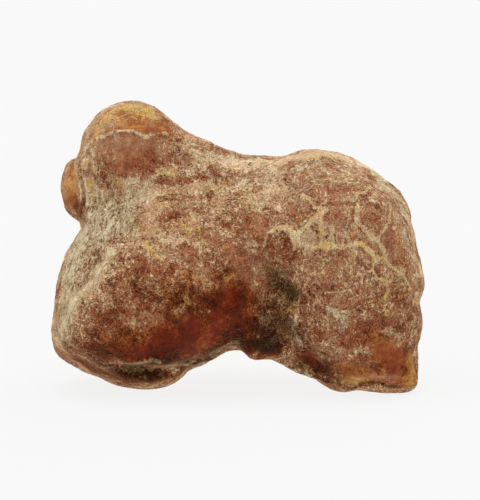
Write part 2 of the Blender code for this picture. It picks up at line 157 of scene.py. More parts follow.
# The skin, kind by kind: how much of it there is on the whole, then strokes on the showing side and strokes
# on the back. A stroke has its strength, its width and its places, in mm across and up.
KINDS = {
    # How light the skin is: its own tone, with painted light along the top rims, the right edge and the
    # lower left edge, and painted shade over the lower parts, under the lip and along the notch of the
    # right foot.
    "tone_and_painted_light": (0.5, (
        # The knob and its lobe.
        (0.12, 2.7, (-19.9, 41.1), (-13.2, 40.5)),
        (0.3, 1.9, (-21.0, 41.1), (-17.7, 42.9), (-14.7, 42.9), (-12.6, 41.7)),
        (0.1, 2.1, (-21.0, 39.9), (-13.2, 40.8)), (0.3, 1.5, (-26.4, 33.9), (-26.1, 30.0)),
        (-0.12, 1.1, (-16.2, 39.3), (-13.8, 39.3), (-11.1, 39.1)),
        (0.14, 2.1, (-20.1, 36.3), (-13.2, 36.0)), (0.12, 1.3, (-21.3, 36.6), (-19.2, 36.0)),
        (0.12, 1.2, (-17.7, 42.9), (-13.8, 42.9)), (0.08, 1.3, (-18.0, 40.2), (-17.4, 39.3)),
        (0.1, 1.2, (-12.3, 37.2), (-11.1, 36.6)), (0.12, 1.2, (-24.0, 30.6), (-23.1, 30.0)),
        (0.1, 1.1, (-24.0, 36.9), (-23.7, 36.0)), (0.09, 1.2, (-18.3, 42.6), (-15.3, 42.6)),
        (0.12, 1.3, (-25.8, 33.3), (-25.2, 27.6)), (0.05, 1.3, (-14.1, 37.2), (-12.0, 35.1)),
        (0.09, 1.1, (-24.3, 37.2), (-23.7, 36.0)), (-0.08, 1.1, (-15.0, 41.7), (-12.3, 40.2)),
        (-0.1, 2.1, (-12.9, 35.1), (-9.6, 33.6)), (-0.09, 2.1, (-21.3, 31.2), (-19.8, 27.6)),
        (-0.14, 1.6, (-21.1, 36.3), (-20.2, 32.7)), (0.12, 1.3, (-24.0, 37.2), (-23.1, 36.0)),
        (0.08, 2.1, (-18.0, 36.6), (-11.7, 36.3)), (0.1, 1.1, (-23.7, 37.0), (-23.1, 35.7)),
        (0.25, 1.1, (-23.4, 36.0), (-22.9, 37.8), (-21.9, 39.6)), (0.1, 1.9, (-26.1, 33.0), (-24.3, 29.7)),
        (-0.05, 2.4, (-20.1, 35.1), (-13.2, 35.7)), (-0.08, 1.6, (-15.6, 35.7), (-13.8, 34.8)),
        (-0.05, 1.3, (-13.2, 37.5), (-10.8, 37.2)), (0.14, 2.4, (-20.7, 37.5), (-14.7, 36.6)),
        (0.1, 1.8, (-20.7, 41.2), (-22.5, 37.5)),
        # The saddle and the top.
        (-0.07, 1.2, (11.4, 34.5), (13.2, 33.9)), (-0.06, 1.2, (17.7, 31.5), (21.9, 30.3)),
        (0.12, 2.1, (-7.2, 35.7), (0.3, 33.6), (9.3, 34.2), (16.8, 33.3)),
        (0.12, 2.7, (9.3, 32.1), (20.1, 29.7)),
        # The next stroke is a painted highlight along the top rim.
        (0.22, 1.2, (-7.2, 37.2), (-3.4, 35.2), (1.1, 34.5), (6.3, 34.8), (10.2, 35.2), (15.3, 35.1),
         (19.8, 33.0), (23.7, 28.5)),
        (-0.12, 1.3, (-9.3, 36.3), (-7.2, 35.4)), (-0.1, 1.2, (12.0, 33.9), (13.2, 33.6)),
        (-0.09, 1.3, (16.2, 33.6), (21.9, 30.9)), (0.08, 1.3, (3.0, 33.3), (4.8, 33.0)),
        (0.14, 1.3, (-9.6, 33.6), (-8.1, 33.3)), (-0.09, 1.3, (-9.3, 36.0), (-8.1, 35.7)),
        (0.1, 1.3, (18.0, 34.5), (19.2, 33.0)), (0.08, 1.5, (3.3, 33.9), (4.8, 33.3)),
        (0.12, 1.5, (3.9, 33.9), (4.5, 32.7)), (0.15, 1.3, (17.7, 34.2), (19.5, 32.7)),
        (0.1, 1.8, (-7.8, 34.2), (-2.1, 33.3), (4.5, 33.0), (10.8, 33.0), (17.1, 32.7)),
        # The bulge.
        (-0.08, 1.8, (-2.4, 12.9), (-0.9, 9.6)), (-0.07, 1.5, (-12.9, 7.8), (-8.7, 7.2)),
        (0.1, 3.9, (-5.7, 29.7), (6.3, 29.1)), (0.16, 3.9, (-23.1, 30.9), (-18.0, 27.8), (-14.4, 29.7)),
        (0.14, 3.3, (-24.3, 21.0), (-25.8, 15.0), (-26.4, 9.8)), (-0.12, 5.4, (-17.7, 13.2), (-10.2, 14.7)),
        (-0.24, 3.6, (-0.3, 13.5), (0.3, 9.9)), (-0.26, 2.7, (-10.8, 7.8), (-6.9, 8.4)),
        (0.06, 0.9, (-2.5, 10.7), (-3.8, 9.0), (-5.2, 6.9)), (-0.16, 1.1, (-6.8, 9.9), (-6.3, 7.8)),
        (0.1, 3.3, (-13.2, 22.8), (-7.2, 24.6), (-5.1, 22.5)), (-0.12, 1.8, (-15.9, 25.2), (-13.8, 24.3)),
        (-0.1, 1.5, (-9.3, 25.2), (-7.2, 24.3)), (-0.12, 1.8, (-18.9, 9.9), (-17.1, 9.3)),
        (-0.06, 3.0, (-5.7, 29.7), (6.3, 30.0)), (-0.08, 1.2, (-9.0, 12.9), (-8.1, 12.3)),
        (0.09, 1.3, (-20.7, 25.2), (-20.1, 24.0)), (0.09, 1.2, (-21.3, 15.9), (-17.4, 15.9)),
        (-0.08, 1.2, (-21.0, 12.9), (-17.1, 12.6)), (0.09, 1.2, (-21.0, 9.9), (-20.1, 9.3)),
        (-0.09, 1.2, (-6.3, 6.6), (0.6, 6.3)), (-0.1, 1.2, (-3.3, 28.2), (-1.8, 27.3)),
        (0.09, 1.2, (-24.3, 24.6), (-23.7, 21.6)), (-0.08, 1.1, (-12.0, 30.6), (-11.4, 27.6)),
        (0.1, 1.3, (-18.3, 6.9), (-17.1, 6.3)), (-0.08, 1.3, (-3.3, 9.3), (0.0, 6.6)),
        (0.08, 1.1, (-26.7, 7.5), (-26.4, 6.3)), (-0.16, 1.2, (-0.9, 7.2), (0.9, 6.3)),
        (-0.14, 0.5, (-25.8, 21.0), (-27.0, 15.8), (-27.1, 10.8)),
        (-0.12, 0.4, (-23.7, 23.1), (-25.2, 18.3)), (-0.1, 0.4, (-22.2, 23.1), (-24.3, 17.1)),
        (0.14, 0.6, (-18.9, 20.7), (-21.1, 16.9), (-23.7, 13.5), (-25.5, 9.6)),
        (-0.1, 2.4, (-21.3, 18.3), (-18.9, 15.9)), (0.1, 1.1, (-23.7, 24.3), (-21.9, 24.0)),
        (0.15, 1.3, (-15.3, 12.9), (-14.1, 12.0)), (-0.1, 1.3, (-27.3, 12.6), (-26.7, 11.7)),
        (-0.08, 1.3, (-11.7, 30.3), (-10.8, 29.4)), (-0.1, 1.3, (-9.6, 24.9), (-8.1, 24.3)),
        (0.09, 1.6, (-20.7, 13.2), (-23.1, 12.6)), (-0.08, 1.3, (-15.3, 25.5), (-13.8, 24.6)),
        (-0.1, 1.2, (-15.6, 16.2), (-14.7, 12.6), (-12.9, 13.5)), (0.1, 1.3, (-6.3, 18.9), (-5.1, 18.3)),
        (-0.1, 1.2, (-3.6, 19.2), (-1.8, 18.3)), (0.1, 1.8, (-6.3, 6.9), (-7.8, 6.0)),
        (-0.06, 2.4, (-3.3, 9.6), (-3.9, 6.6)), (0.09, 2.7, (-5.7, 19.5), (6.6, 18.6)),
        (0.14, 1.2, (-24.3, 25.2), (-23.1, 23.7)), (0.12, 1.5, (0.0, 27.9), (1.2, 27.6)),
        (-0.12, 1.5, (-15.3, 15.6), (-13.8, 14.7)), (0.12, 1.5, (-15.0, 10.2), (-13.8, 9.3)),
        (-0.12, 1.3, (-15.3, 7.2), (-13.8, 6.0)), (-0.1, 1.8, (-3.3, 19.2), (-2.1, 18.3)),
        (0.1, 1.5, (-3.3, 22.5), (-1.8, 21.3)), (-0.1, 1.3, (-21.3, 7.5), (-26.7, 12.6)),
        (0.1, 1.2, (-6.3, 28.2), (-8.7, 27.6)), (-0.1, 2.1, (-8.1, 14.7), (-4.8, 13.8)),
        (-0.14, 1.6, (-6.3, 21.6), (-3.9, 19.2), (-2.1, 18.3)), (-0.1, 1.8, (-9.0, 15.4), (-5.7, 12.4)),
        (0.14, 1.1, (-27.0, 7.2), (-25.8, 5.4)), (-0.08, 1.5, (-21.6, 30.9), (-17.4, 30.0)),
        (-0.08, 2.4, (-0.9, 14.1), (0.9, 9.0)), (-0.06, 1.3, (0.3, 25.5), (3.0, 24.3)),
        (0.1, 1.8, (-26.4, 16.2), (-26.7, 13.5)), (0.14, 1.9, (-15.0, 13.5), (-12.0, 12.3)),
        (-0.12, 1.8, (-8.7, 12.6), (-5.7, 12.6)), (-0.12, 1.2, (-2.4, 6.9), (0.3, 7.2)),
        (-0.45, 1.5, (-24.3, 27.3), (-23.7, 26.2)), (0.18, 1.6, (-22.8, 24.6), (-20.1, 24.0)),
        (0.1, 3.9, (-21.3, 18.0), (-19.2, 14.7)), (0.1, 3.6, (-10.9, 19.2), (-5.7, 17.7)),
        (0.12, 2.1, (0.3, 19.2), (3.6, 16.2)), (0.12, 2.1, (-13.2, 22.5), (-11.1, 21.6)),
        (-0.08, 1.8, (-9.3, 24.8), (-7.8, 24.0)), (-0.1, 1.8, (-0.3, 25.2), (1.2, 24.3)),
        # The left foot and its lip.
        # Painted shade over the foot and under its lip, with painted light along its lower left edge.
        (-0.14, 3.0, (-24.9, 6.0), (-19.2, 5.7)), (-0.24, 3.0, (-20.7, 5.7), (-9.0, 5.4)),
        (-0.3, 2.1, (-24.0, 4.2), (-19.2, 2.2), (-13.2, 1.6), (-7.5, 2.5)),
        (-0.14, 1.3, (-26.7, 6.6), (-24.4, 4.2)),
        (-0.3, 1.3, (-16.8, 3.9), (-11.7, 4.3), (-6.9, 4.5), (-3.3, 6.0), (0.3, 7.3)),
        (-0.28, 1.2, (-7.8, 3.8), (-3.6, 5.1), (0.3, 6.6)),
        (-0.14, 1.5, (-21.9, 4.5), (-17.7, 3.0), (-12.3, 1.8)), (0.14, 0.9, (-24.3, 4.2), (-23.1, 3.3)),
        (-0.12, 1.1, (-21.0, 3.6), (-14.1, 3.0)), (-0.18, 0.9, (-6.3, 4.2), (-5.1, 3.6)),
        (-0.1, 1.3, (-21.0, 3.3), (-14.7, 2.4)), (-0.12, 1.1, (-13.2, 5.1), (-6.3, 5.0)),
        (-0.18, 1.1, (-6.3, 4.5), (-4.5, 4.5)), (0.2, 0.9, (-24.3, 4.2), (-22.8, 2.9)),
        (-0.16, 1.2, (-16.5, 3.9), (-13.2, 3.0), (-6.3, 3.3)), (0.2, 1.2, (-24.9, 4.2), (-23.1, 3.0)),
        (-0.25, 1.5, (-21.6, 4.5), (-17.1, 3.9)), (0.18, 1.1, (-27.1, 7.5), (-26.1, 5.5), (-23.1, 3.3)),
        # The valley.
        (-0.26, 2.5, (5.8, 15.8), (7.2, 8.7)), (-0.12, 2.2, (3.9, 19.2), (7.2, 19.2)),
        (0.08, 1.5, (5.1, 17.4), (7.2, 15.0)), (0.1, 1.3, (2.7, 15.9), (6.3, 15.9)),
        (-0.2, 1.3, (6.6, 15.9), (7.8, 14.7)), (-0.14, 2.1, (3.9, 11.1), (5.1, 7.5)),
        (-0.12, 1.5, (2.4, 9.8), (3.6, 6.6)), (0.12, 1.9, (3.3, 16.2), (3.6, 15.0)),
        (-0.2, 1.8, (1.2, 6.8), (5.7, 6.5)), (-0.1, 3.0, (3.9, 13.5), (5.1, 7.5)),
        # The block.
        (0.08, 4.2, (13.8, 24.6), (21.6, 19.2)), (0.1, 2.1, (24.9, 23.1), (26.4, 13.5)),
        # The first stroke below is a painted highlight along the right edge.
        (0.12, 1.2, (24.9, 26.4), (26.4, 21.0), (27.1, 13.5)), (0.12, 1.3, (14.4, 12.9), (16.2, 12.9)),
        (-0.12, 0.9, (26.1, 12.9), (27.0, 12.0)), (-0.07, 1.3, (17.7, 25.2), (18.9, 24.3)),
        (-0.12, 1.1, (27.0, 13.5), (27.4, 12.0)), (-0.08, 1.3, (17.4, 30.9), (19.5, 30.0)),
        (-0.09, 1.2, (26.7, 13.5), (27.6, 11.7)), (-0.06, 1.2, (16.2, 25.2), (18.9, 24.0)),
        (-0.07, 1.2, (11.4, 28.5), (12.9, 27.0)), (0.08, 0.6, (24.0, 26.4), (25.2, 23.1)),
        (-0.1, 1.5, (1.2, 27.6), (3.6, 27.6)), (-0.12, 1.2, (17.7, 19.2), (18.9, 18.3)),
        (0.06, 1.8, (3.6, 28.5), (3.6, 27.0)), (-0.12, 1.2, (5.7, 24.6), (6.9, 23.7)),
        (0.1, 1.5, (2.7, 24.6), (4.2, 23.7)), (0.1, 1.3, (24.0, 28.2), (24.9, 27.0)),
        (0.1, 1.3, (14.7, 13.5), (15.9, 12.6)), (0.12, 1.2, (3.0, 30.9), (3.9, 29.7)),
        (0.1, 1.3, (2.7, 25.2), (3.9, 24.0)), (0.1, 1.2, (2.7, 30.9), (3.9, 30.0)),
        (-0.1, 1.3, (9.3, 13.5), (10.5, 12.6)), (-0.08, 1.6, (18.0, 9.3), (21.6, 9.3)),
        (0.08, 1.8, (11.7, 18.6), (15.6, 18.6)), (0.08, 1.5, (18.3, 21.6), (21.9, 21.6)),
        (0.1, 1.5, (24.3, 27.0), (24.9, 24.3)), (0.1, 3.0, (9.3, 28.5), (16.1, 27.0)),
        (0.12, 2.4, (21.3, 22.8), (24.3, 24.6)), (0.12, 1.8, (26.4, 19.2), (26.7, 13.5)),
        # The right foot.
        (-0.16, 2.1, (10.5, 4.5), (14.7, 2.7)), (-0.12, 2.1, (16.8, 4.2), (26.1, 4.2)),
        (-0.12, 1.2, (16.8, 6.6), (19.2, 6.6)), (-0.1, 1.1, (8.7, 4.2), (10.2, 3.3)),
        (-0.14, 1.2, (24.9, 2.4), (26.1, 1.5)), (-0.07, 1.2, (12.6, 2.4), (15.6, 1.8)),
        # The next stroke is a painted shadow line along the notch under the ledge of the right foot.
        (-0.5, 0.4, (17.1, 0.3), (19.2, 0.9), (21.3, 0.8), (23.7, 0.3)),
        (0.3, 0.3, (20.1, 0.1), (24.6, 0.0)), (0.15, 1.1, (25.8, 4.5), (26.2, 1.5)),
        (0.12, 1.1, (15.6, 1.5), (18.9, 1.3)), (0.08, 1.6, (17.1, 6.3), (15.9, 4.5)),
        (0.12, 2.4, (15.0, 6.6), (17.1, 2.7)), (0.1, 1.8, (21.9, 6.6), (20.7, 2.7)),
        (-0.12, 1.5, (21.6, 3.9), (24.6, 3.3)), (-0.08, 1.8, (9.3, 3.8), (11.7, 3.3)),
        (-0.14, 3.0, (10.8, 6.0), (15.3, 2.1)), (-0.12, 2.1, (7.8, 4.5), (13.8, 1.8)),
        (0.14, 0.9, (15.9, 0.9), (19.5, 0.4)), (0.12, 0.9, (23.4, 0.8), (26.4, 0.8)),
    ), (
        (0.14, 2.4, (-7.2, 34.5), (1.8, 33.0), (13.8, 33.0)), (-0.2, 3.9, (-5.7, 11.1), (2.7, 9.6)),
        (0.12, 3.0, (-17.7, 25.5), (-13.2, 28.5)), (-0.14, 3.3, (13.8, 9.0), (22.8, 7.5)),
        (0.12, 3.6, (23.4, 27.0), (25.5, 15.0)), (-0.18, 2.4, (-13.2, 6.0), (-7.2, 4.2)),
        (0.16, 3.6, (-23.1, 19.5), (-23.7, 10.5)), (0.1, 2.1, (12.3, 28.5), (17.7, 24.0)),
        (-0.12, 2.4, (-11.7, 19.2), (-9.3, 16.2)), (0.2, 1.8, (-19.2, 41.4), (-13.8, 41.7)),
    )),
    # How thickly fibres and crumbs of crust cover it.
    "crust": (0.5, (
        # The knob and its lobe.
        (-0.5, 1.2, (-16.2, 39.3), (-13.8, 39.3), (-11.1, 39.1)),
        (-0.28, 2.4, (-17.1, 35.7), (-13.5, 34.8)), (-0.7, 1.3, (-26.4, 33.6), (-25.8, 29.1)),
        (-0.35, 1.3, (-17.7, 33.3), (-13.8, 32.7)), (-0.18, 2.2, (-12.9, 35.7), (-9.3, 34.2)),
        (-0.2, 1.3, (-21.1, 36.0), (-20.2, 32.7)), (-0.2, 2.4, (-19.8, 41.4), (-13.2, 40.5)),
        (-0.2, 1.5, (-26.4, 32.2), (-25.2, 28.5)),
        # The saddle and the top.
        (0.2, 1.5, (-8.1, 36.4), (-3.4, 34.8), (3.3, 34.2), (9.3, 35.2), (15.3, 35.1)),
        (0.3, 1.3, (9.3, 34.9), (13.8, 35.4), (17.1, 34.8), (20.1, 33.0), (23.7, 29.1)),
        (0.3, 0.6, (-11.7, 32.7), (-7.8, 33.0), (-5.1, 33.6)),
        (-0.3, 0.5, (-12.3, 31.3), (-8.1, 31.5), (-4.8, 31.8)),
        # The bulge.
        (-0.1, 1.3, (-7.8, 14.1), (-4.5, 12.3)), (0.25, 4.2, (-23.1, 30.9), (-18.0, 27.8), (-14.4, 29.7)),
        (0.25, 3.6, (-24.3, 21.0), (-25.8, 15.0), (-26.4, 9.8)),
        (0.35, 1.5, (-19.5, 19.6), (-21.9, 15.8), (-24.3, 13.2), (-26.1, 9.6)),
        (0.28, 3.6, (-14.7, 23.7), (-7.2, 24.6), (-4.2, 21.9)), (0.2, 3.6, (-5.7, 30.0), (7.8, 30.0)),
        (-0.12, 4.5, (-16.2, 14.1), (-10.9, 13.5)), (-0.45, 3.6, (-0.3, 14.1), (0.3, 9.9)),
        (-0.7, 2.2, (-10.8, 7.8), (-7.2, 9.0), (-3.9, 8.1)), (-0.5, 1.3, (-24.0, 27.4), (-23.7, 26.6)),
        (-0.25, 1.9, (-18.9, 9.9), (-17.1, 9.3)), (-0.14, 3.6, (-6.3, 18.0), (8.1, 19.2)),
        (0.3, 0.6, (-13.8, 30.1), (-8.7, 30.0), (-4.5, 30.6)),
        (-0.3, 0.6, (-11.7, 28.6), (-8.1, 28.6), (-4.8, 29.1)), (-0.3, 0.8, (-10.2, 26.7), (-7.8, 27.0)),
        (0.25, 0.8, (-13.2, 27.3), (-10.8, 27.9)), (-0.45, 0.9, (-11.7, 25.6), (-9.6, 26.2)),
        (-0.3, 1.1, (-6.3, 27.6), (-4.8, 26.4)), (-0.45, 0.9, (-4.8, 23.4), (-3.3, 22.8)),
        (-0.45, 0.8, (-7.8, 21.3), (-6.8, 20.7)), (-0.15, 1.5, (-6.3, 21.0), (-3.6, 19.2), (-1.8, 18.6)),
        (-0.4, 1.1, (-14.7, 19.2), (-13.2, 18.0)), (-0.3, 1.2, (-1.8, 21.6), (-0.3, 20.4)),
        (0.3, 1.1, (-15.9, 30.6), (-13.8, 30.3)),
        # The left foot and its lip.
        (-0.16, 1.8, (-19.5, 6.9), (-13.2, 5.5), (-8.1, 6.1)), (-0.14, 1.2, (-23.7, 4.2), (-19.2, 2.4)),
        (-0.22, 0.9, (-6.6, 5.0), (-3.9, 5.5)), (-0.35, 3.9, (-19.2, 5.7), (-9.0, 5.7)),
        (-0.4, 1.3, (-16.8, 4.0), (-11.7, 4.5), (-6.9, 4.6), (-3.3, 6.1), (0.3, 7.5)),
        (-0.3, 2.1, (-24.0, 4.2), (-19.2, 2.2), (-13.2, 1.6), (-7.5, 2.5)),
        (-0.45, 1.1, (-13.2, 2.5), (-7.2, 3.0), (-3.4, 4.6), (0.0, 5.8)),
        # The valley.
        (0.14, 1.5, (5.1, 17.4), (7.2, 15.0)), (0.25, 1.6, (6.9, 10.8), (8.1, 8.2)),
        (-0.2, 1.8, (2.1, 6.3), (5.7, 6.0)),
        # The block.
        (-0.3, 1.9, (18.9, 9.0), (21.9, 9.6)), (-0.18, 5.1, (13.8, 12.0), (23.1, 9.0)),
        (0.25, 1.2, (24.9, 26.4), (26.4, 21.0), (27.1, 13.5)), (-0.2, 4.5, (12.3, 28.5), (22.8, 21.0)),
        (0.12, 3.9, (9.3, 13.5), (18.3, 10.5)), (0.3, 2.2, (10.2, 22.8), (12.6, 22.3)),
        (-0.3, 1.5, (0.3, 25.8), (3.0, 24.6), (3.9, 22.8)),
        # The right foot.
        (-0.12, 1.2, (24.6, 2.4), (26.4, 1.5)), (-0.2, 1.8, (16.8, 6.6), (19.2, 6.6)),
        (-0.4, 1.3, (21.9, 5.7), (24.3, 2.7)), (-0.4, 1.9, (16.2, 3.6), (25.5, 3.9)),
        (-0.3, 1.8, (10.2, 4.8), (13.8, 2.1)), (-0.3, 1.9, (22.2, 5.1), (26.1, 3.6), (24.3, 1.2)),
        (-0.2, 1.6, (15.9, 2.4), (19.8, 1.8)), (-0.45, 1.2, (10.3, 4.5), (12.0, 3.9)),
    ), (
        (0.25, 4.2, (-20.7, 22.5), (-24.3, 12.0)), (-0.6, 3.3, (-3.9, 13.5), (1.8, 9.9)),
        (-0.3, 3.0, (10.8, 25.5), (16.8, 21.0)), (0.25, 3.3, (-8.7, 30.6), (3.3, 30.0)),
        (-0.5, 2.2, (16.8, 5.7), (24.6, 4.5)), (0.2, 3.9, (22.8, 28.5), (25.2, 18.0)),
        (-0.4, 1.9, (-18.9, 39.0), (-13.2, 37.5)), (-0.45, 2.2, (-12.9, 19.2), (-9.3, 16.8)),
        (0.3, 2.2, (6.9, 18.0), (10.2, 9.0)), (-0.3, 3.0, (-13.2, 6.6), (-5.7, 4.8)),
        (0.3, 1.5, (-9.3, 27.8), (-5.7, 25.2), (-6.3, 21.0)),
    )),
    # Where the crust is gone and the resin is clear.
    "window": (0.0, (
        # The knob and its lobe.
        (0.95, 1.2, (-16.2, 39.3), (-13.8, 39.3), (-11.1, 39.1)), (0.35, 1.6, (-16.5, 35.1), (-14.7, 34.5)),
        (0.45, 1.1, (-26.2, 32.7), (-25.8, 30.0)),
        # The bulge.
        (0.3, 1.8, (-11.7, 10.8), (-5.7, 13.2), (-1.8, 13.5)), (0.95, 1.3, (-7.2, 10.0), (-6.3, 7.2)),
        (0.6, 1.9, (-11.4, 7.8), (-8.1, 6.9)), (0.6, 1.5, (-3.0, 10.2), (-4.8, 6.9)),
        (0.4, 3.0, (-0.3, 13.5), (0.6, 10.2)),
        # The left foot and its lip.
        (0.25, 1.8, (-17.7, 6.8), (-9.0, 5.7)), (0.35, 1.9, (-19.2, 5.1), (-13.2, 5.7)),
        (0.4, 1.3, (-26.4, 6.8), (-23.7, 3.6)),
        # The valley.
        (0.5, 1.3, (2.1, 6.0), (5.4, 5.7)),
        # The right foot.
        (0.7, 1.1, (21.9, 5.7), (24.6, 5.2)), (0.8, 1.3, (10.2, 5.1), (12.0, 3.9)),
        (0.7, 1.5, (21.9, 5.7), (23.7, 3.6), (23.1, 1.8)), (0.3, 1.5, (16.2, 2.4), (19.2, 2.1)),
        (0.4, 1.1, (25.8, 2.1), (26.4, 1.2)),
    ), (
        (0.9, 1.8, (-2.4, 12.9), (1.2, 10.5)), (0.5, 1.5, (18.3, 5.7), (23.7, 4.2)),
        (0.7, 1.2, (-18.0, 39.3), (-13.8, 38.4)), (0.4, 1.3, (-12.0, 18.6), (-10.2, 17.1)),
        (0.4, 1.8, (-11.7, 5.7), (-7.8, 4.8)),
    )),
    # Where the resin is orange-brown rather than plum.
    "warm": (0.18, (
        # The knob and its lobe.
        (0.5, 2.4, (-17.7, 40.5), (-11.7, 39.6)), (0.3, 1.8, (-26.4, 32.7), (-24.6, 28.5)),
        (0.5, 1.5, (-26.2, 33.3), (-25.5, 29.1)),
        # The bulge.
        (0.5, 3.3, (-9.3, 15.0), (-6.3, 10.8), (-8.7, 7.5)), (0.4, 2.4, (-0.3, 16.2), (2.7, 13.5)),
        (0.3, 2.7, (-13.2, 9.0), (-17.7, 5.7)),
        # The left foot and its lip.
        (0.5, 2.4, (-22.2, 3.6), (-16.2, 2.1), (-8.7, 2.4)), (0.5, 3.3, (-23.1, 6.0), (-17.7, 6.0)),
        # The block.
        (0.3, 1.8, (24.0, 22.5), (25.5, 15.0)),
        # The right foot.
        (0.6, 2.4, (21.9, 5.7), (25.5, 3.6), (21.3, 1.8), (16.8, 1.8)), (0.5, 1.5, (9.9, 4.8), (12.3, 3.6)),
        (0.4, 1.9, (16.2, 3.3), (26.1, 3.6)),
    ), (
        (0.5, 3.3, (-3.9, 13.8), (3.3, 9.0)), (0.5, 2.4, (16.2, 5.1), (24.3, 4.2)),
        (0.5, 2.1, (-19.2, 40.5), (-13.2, 38.1)), (0.4, 3.0, (-13.2, 6.0), (-5.7, 4.5)),
    )),
    # Where the crust is rubbed smoother.
    "worn": (0.0, (
        (0.6, 3.9, (-20.1, 40.8), (-13.2, 39.0), (-17.7, 34.5)), (1.6, 2.2, (-26.4, 34.2), (-25.2, 27.8)),
        (0.6, 3.0, (-22.5, 37.5), (-17.7, 36.6)),
        (0.5, 1.5, (-8.1, 37.0), (-3.4, 35.1), (3.3, 34.5), (9.3, 35.1), (15.3, 35.1), (20.1, 33.0),
         (23.7, 29.1)),
        (0.5, 1.3, (24.9, 26.4), (26.4, 21.0), (27.0, 13.5)),
    ), (
        (0.6, 3.0, (-19.2, 40.5), (-13.2, 39.0)), (0.5, 2.7, (-5.7, 33.8), (13.8, 33.0)),
    )),
    # Where the crust is khaki.
    "khaki": (0.0, (
        # The saddle and the top.
        (0.45, 1.5, (-9.0, 37.0), (-3.6, 35.2), (3.3, 34.8)), (0.35, 1.8, (7.8, 33.6), (13.8, 34.8)),
        (0.4, 2.2, (-5.7, 32.4), (4.5, 31.5)), (0.35, 1.8, (9.3, 33.0), (16.8, 33.6)),
        # The bulge.
        (0.7, 3.3, (-24.0, 21.8), (-25.5, 15.0), (-26.1, 9.0)), (0.5, 3.6, (-20.1, 23.1), (-21.3, 17.1)),
        (0.6, 3.0, (-21.9, 28.5), (-17.7, 27.3), (-14.7, 29.4)), (0.4, 2.7, (-21.0, 24.6), (-16.5, 24.8)),
        # The left foot and its lip.
        (0.7, 1.3, (-16.5, 3.6), (-12.0, 4.2), (-5.1, 3.9)),
        # The block.
        (0.6, 1.8, (21.3, 31.5), (24.0, 28.5), (25.2, 24.0)), (0.6, 1.8, (8.4, 9.8), (9.4, 7.2)),
        (0.5, 1.5, (9.9, 22.5), (13.2, 23.1)), (0.5, 1.3, (20.7, 30.6), (24.3, 26.4), (25.5, 23.1)),
        # The right foot.
        (0.6, 1.2, (18.0, 6.0), (19.2, 5.5)),
    ), (
        (0.6, 3.6, (-21.3, 23.1), (-24.6, 12.0)), (0.5, 2.1, (-8.7, 34.5), (0.3, 32.7)),
        (0.5, 2.4, (21.9, 30.0), (24.9, 22.5)), (0.5, 2.1, (8.1, 13.5), (9.6, 7.5)),
        (0.4, 2.7, (-16.2, 30.0), (-11.7, 27.6)),
    )),
    # Where the crust stands in thicker veins along its cracks.
    "vein": (0.0, (
        # The knob and its lobe.
        (0.9, 0.3, (-21.4, 37.8), (-20.2, 37.9), (-18.0, 38.7), (-15.9, 38.7), (-13.9, 37.9),
         (-10.9, 38.4)),
        (0.5, 0.4, (-23.1, 34.5), (-22.8, 31.5), (-22.5, 27.8)), (0.4, 0.4, (-21.9, 36.6), (-21.6, 33.0)),
        # The saddle and the top.
        (0.6, 0.4, (19.9, 30.3), (19.5, 31.2), (17.7, 30.9), (15.3, 31.2), (13.2, 31.5), (11.7, 31.2)),
        (0.6, 0.5, (12.3, 34.5), (10.2, 34.2), (8.1, 33.0), (6.9, 33.3)),
        (0.5, 0.5, (-10.9, 38.4), (-7.9, 36.0), (-5.7, 34.5)),
        # The bulge.
        (0.5, 0.5, (-13.2, 30.3), (-7.9, 30.0), (-5.0, 30.8), (-1.2, 30.0)),
        (0.6, 0.4, (-19.2, 20.1), (-21.3, 16.5), (-24.0, 13.5), (-25.8, 9.9)),
        (0.6, 0.4, (-23.7, 15.3), (-24.9, 12.0)),
        # The block.
        (0.8, 0.4, (6.3, 24.0), (7.0, 24.3), (8.1, 23.8), (8.4, 22.8), (8.5, 21.0)),
        (0.9, 0.4, (9.9, 29.1), (10.8, 28.8), (11.5, 27.3), (13.0, 27.0)),
        (0.9, 0.5, (13.0, 27.0), (11.8, 26.1), (10.8, 24.9), (9.9, 24.1), (8.8, 23.4), (9.0, 22.5)),
        (0.6, 0.4, (9.9, 29.1), (7.5, 30.0), (6.6, 32.4)),
        (0.9, 0.5, (9.0, 21.9), (10.8, 21.3), (12.6, 21.6), (14.2, 21.4), (16.2, 21.6), (18.3, 21.9),
         (19.2, 21.3), (20.4, 20.1), (21.3, 19.8)),
        (0.8, 0.5, (12.6, 27.0), (12.4, 24.6), (12.8, 22.8), (13.5, 21.6)),
        (1.0, 0.4, (17.8, 25.5), (18.3, 24.6), (19.5, 23.7), (20.7, 22.5), (21.8, 21.0)),
        (0.9, 0.3, (21.8, 21.0), (22.2, 19.2), (23.7, 18.0), (24.9, 16.8), (25.8, 15.3)),
        (0.8, 0.4, (17.8, 25.5), (17.8, 27.0), (18.1, 28.8), (17.8, 29.5), (18.9, 29.4), (19.9, 30.3)),
        (0.9, 0.3, (22.6, 27.9), (22.8, 26.4), (22.6, 24.9), (21.9, 24.0), (21.0, 22.8)),
        (0.6, 0.3, (24.9, 26.1), (25.5, 24.3), (24.3, 22.8), (24.1, 21.6)),
        (0.8, 0.4, (20.4, 19.5), (20.1, 18.0), (20.7, 16.8), (21.9, 16.5), (22.5, 15.0), (21.9, 13.5)),
        (0.6, 0.3, (14.2, 25.8), (14.4, 24.0), (13.9, 22.8)),
        (0.6, 0.3, (18.3, 23.1), (17.8, 22.5), (17.7, 21.6)), (0.45, 0.2, (18.9, 25.9), (20.7, 24.3)),
        (0.45, 0.2, (19.2, 26.8), (21.9, 24.6)), (0.45, 0.2, (20.7, 28.2), (22.2, 26.1)),
        (0.5, 0.3, (15.6, 29.1), (15.8, 27.6), (15.0, 26.7)),
        (0.6, 0.4, (4.0, 21.6), (4.5, 23.4), (6.0, 24.3), (7.8, 24.0), (8.4, 22.5)),
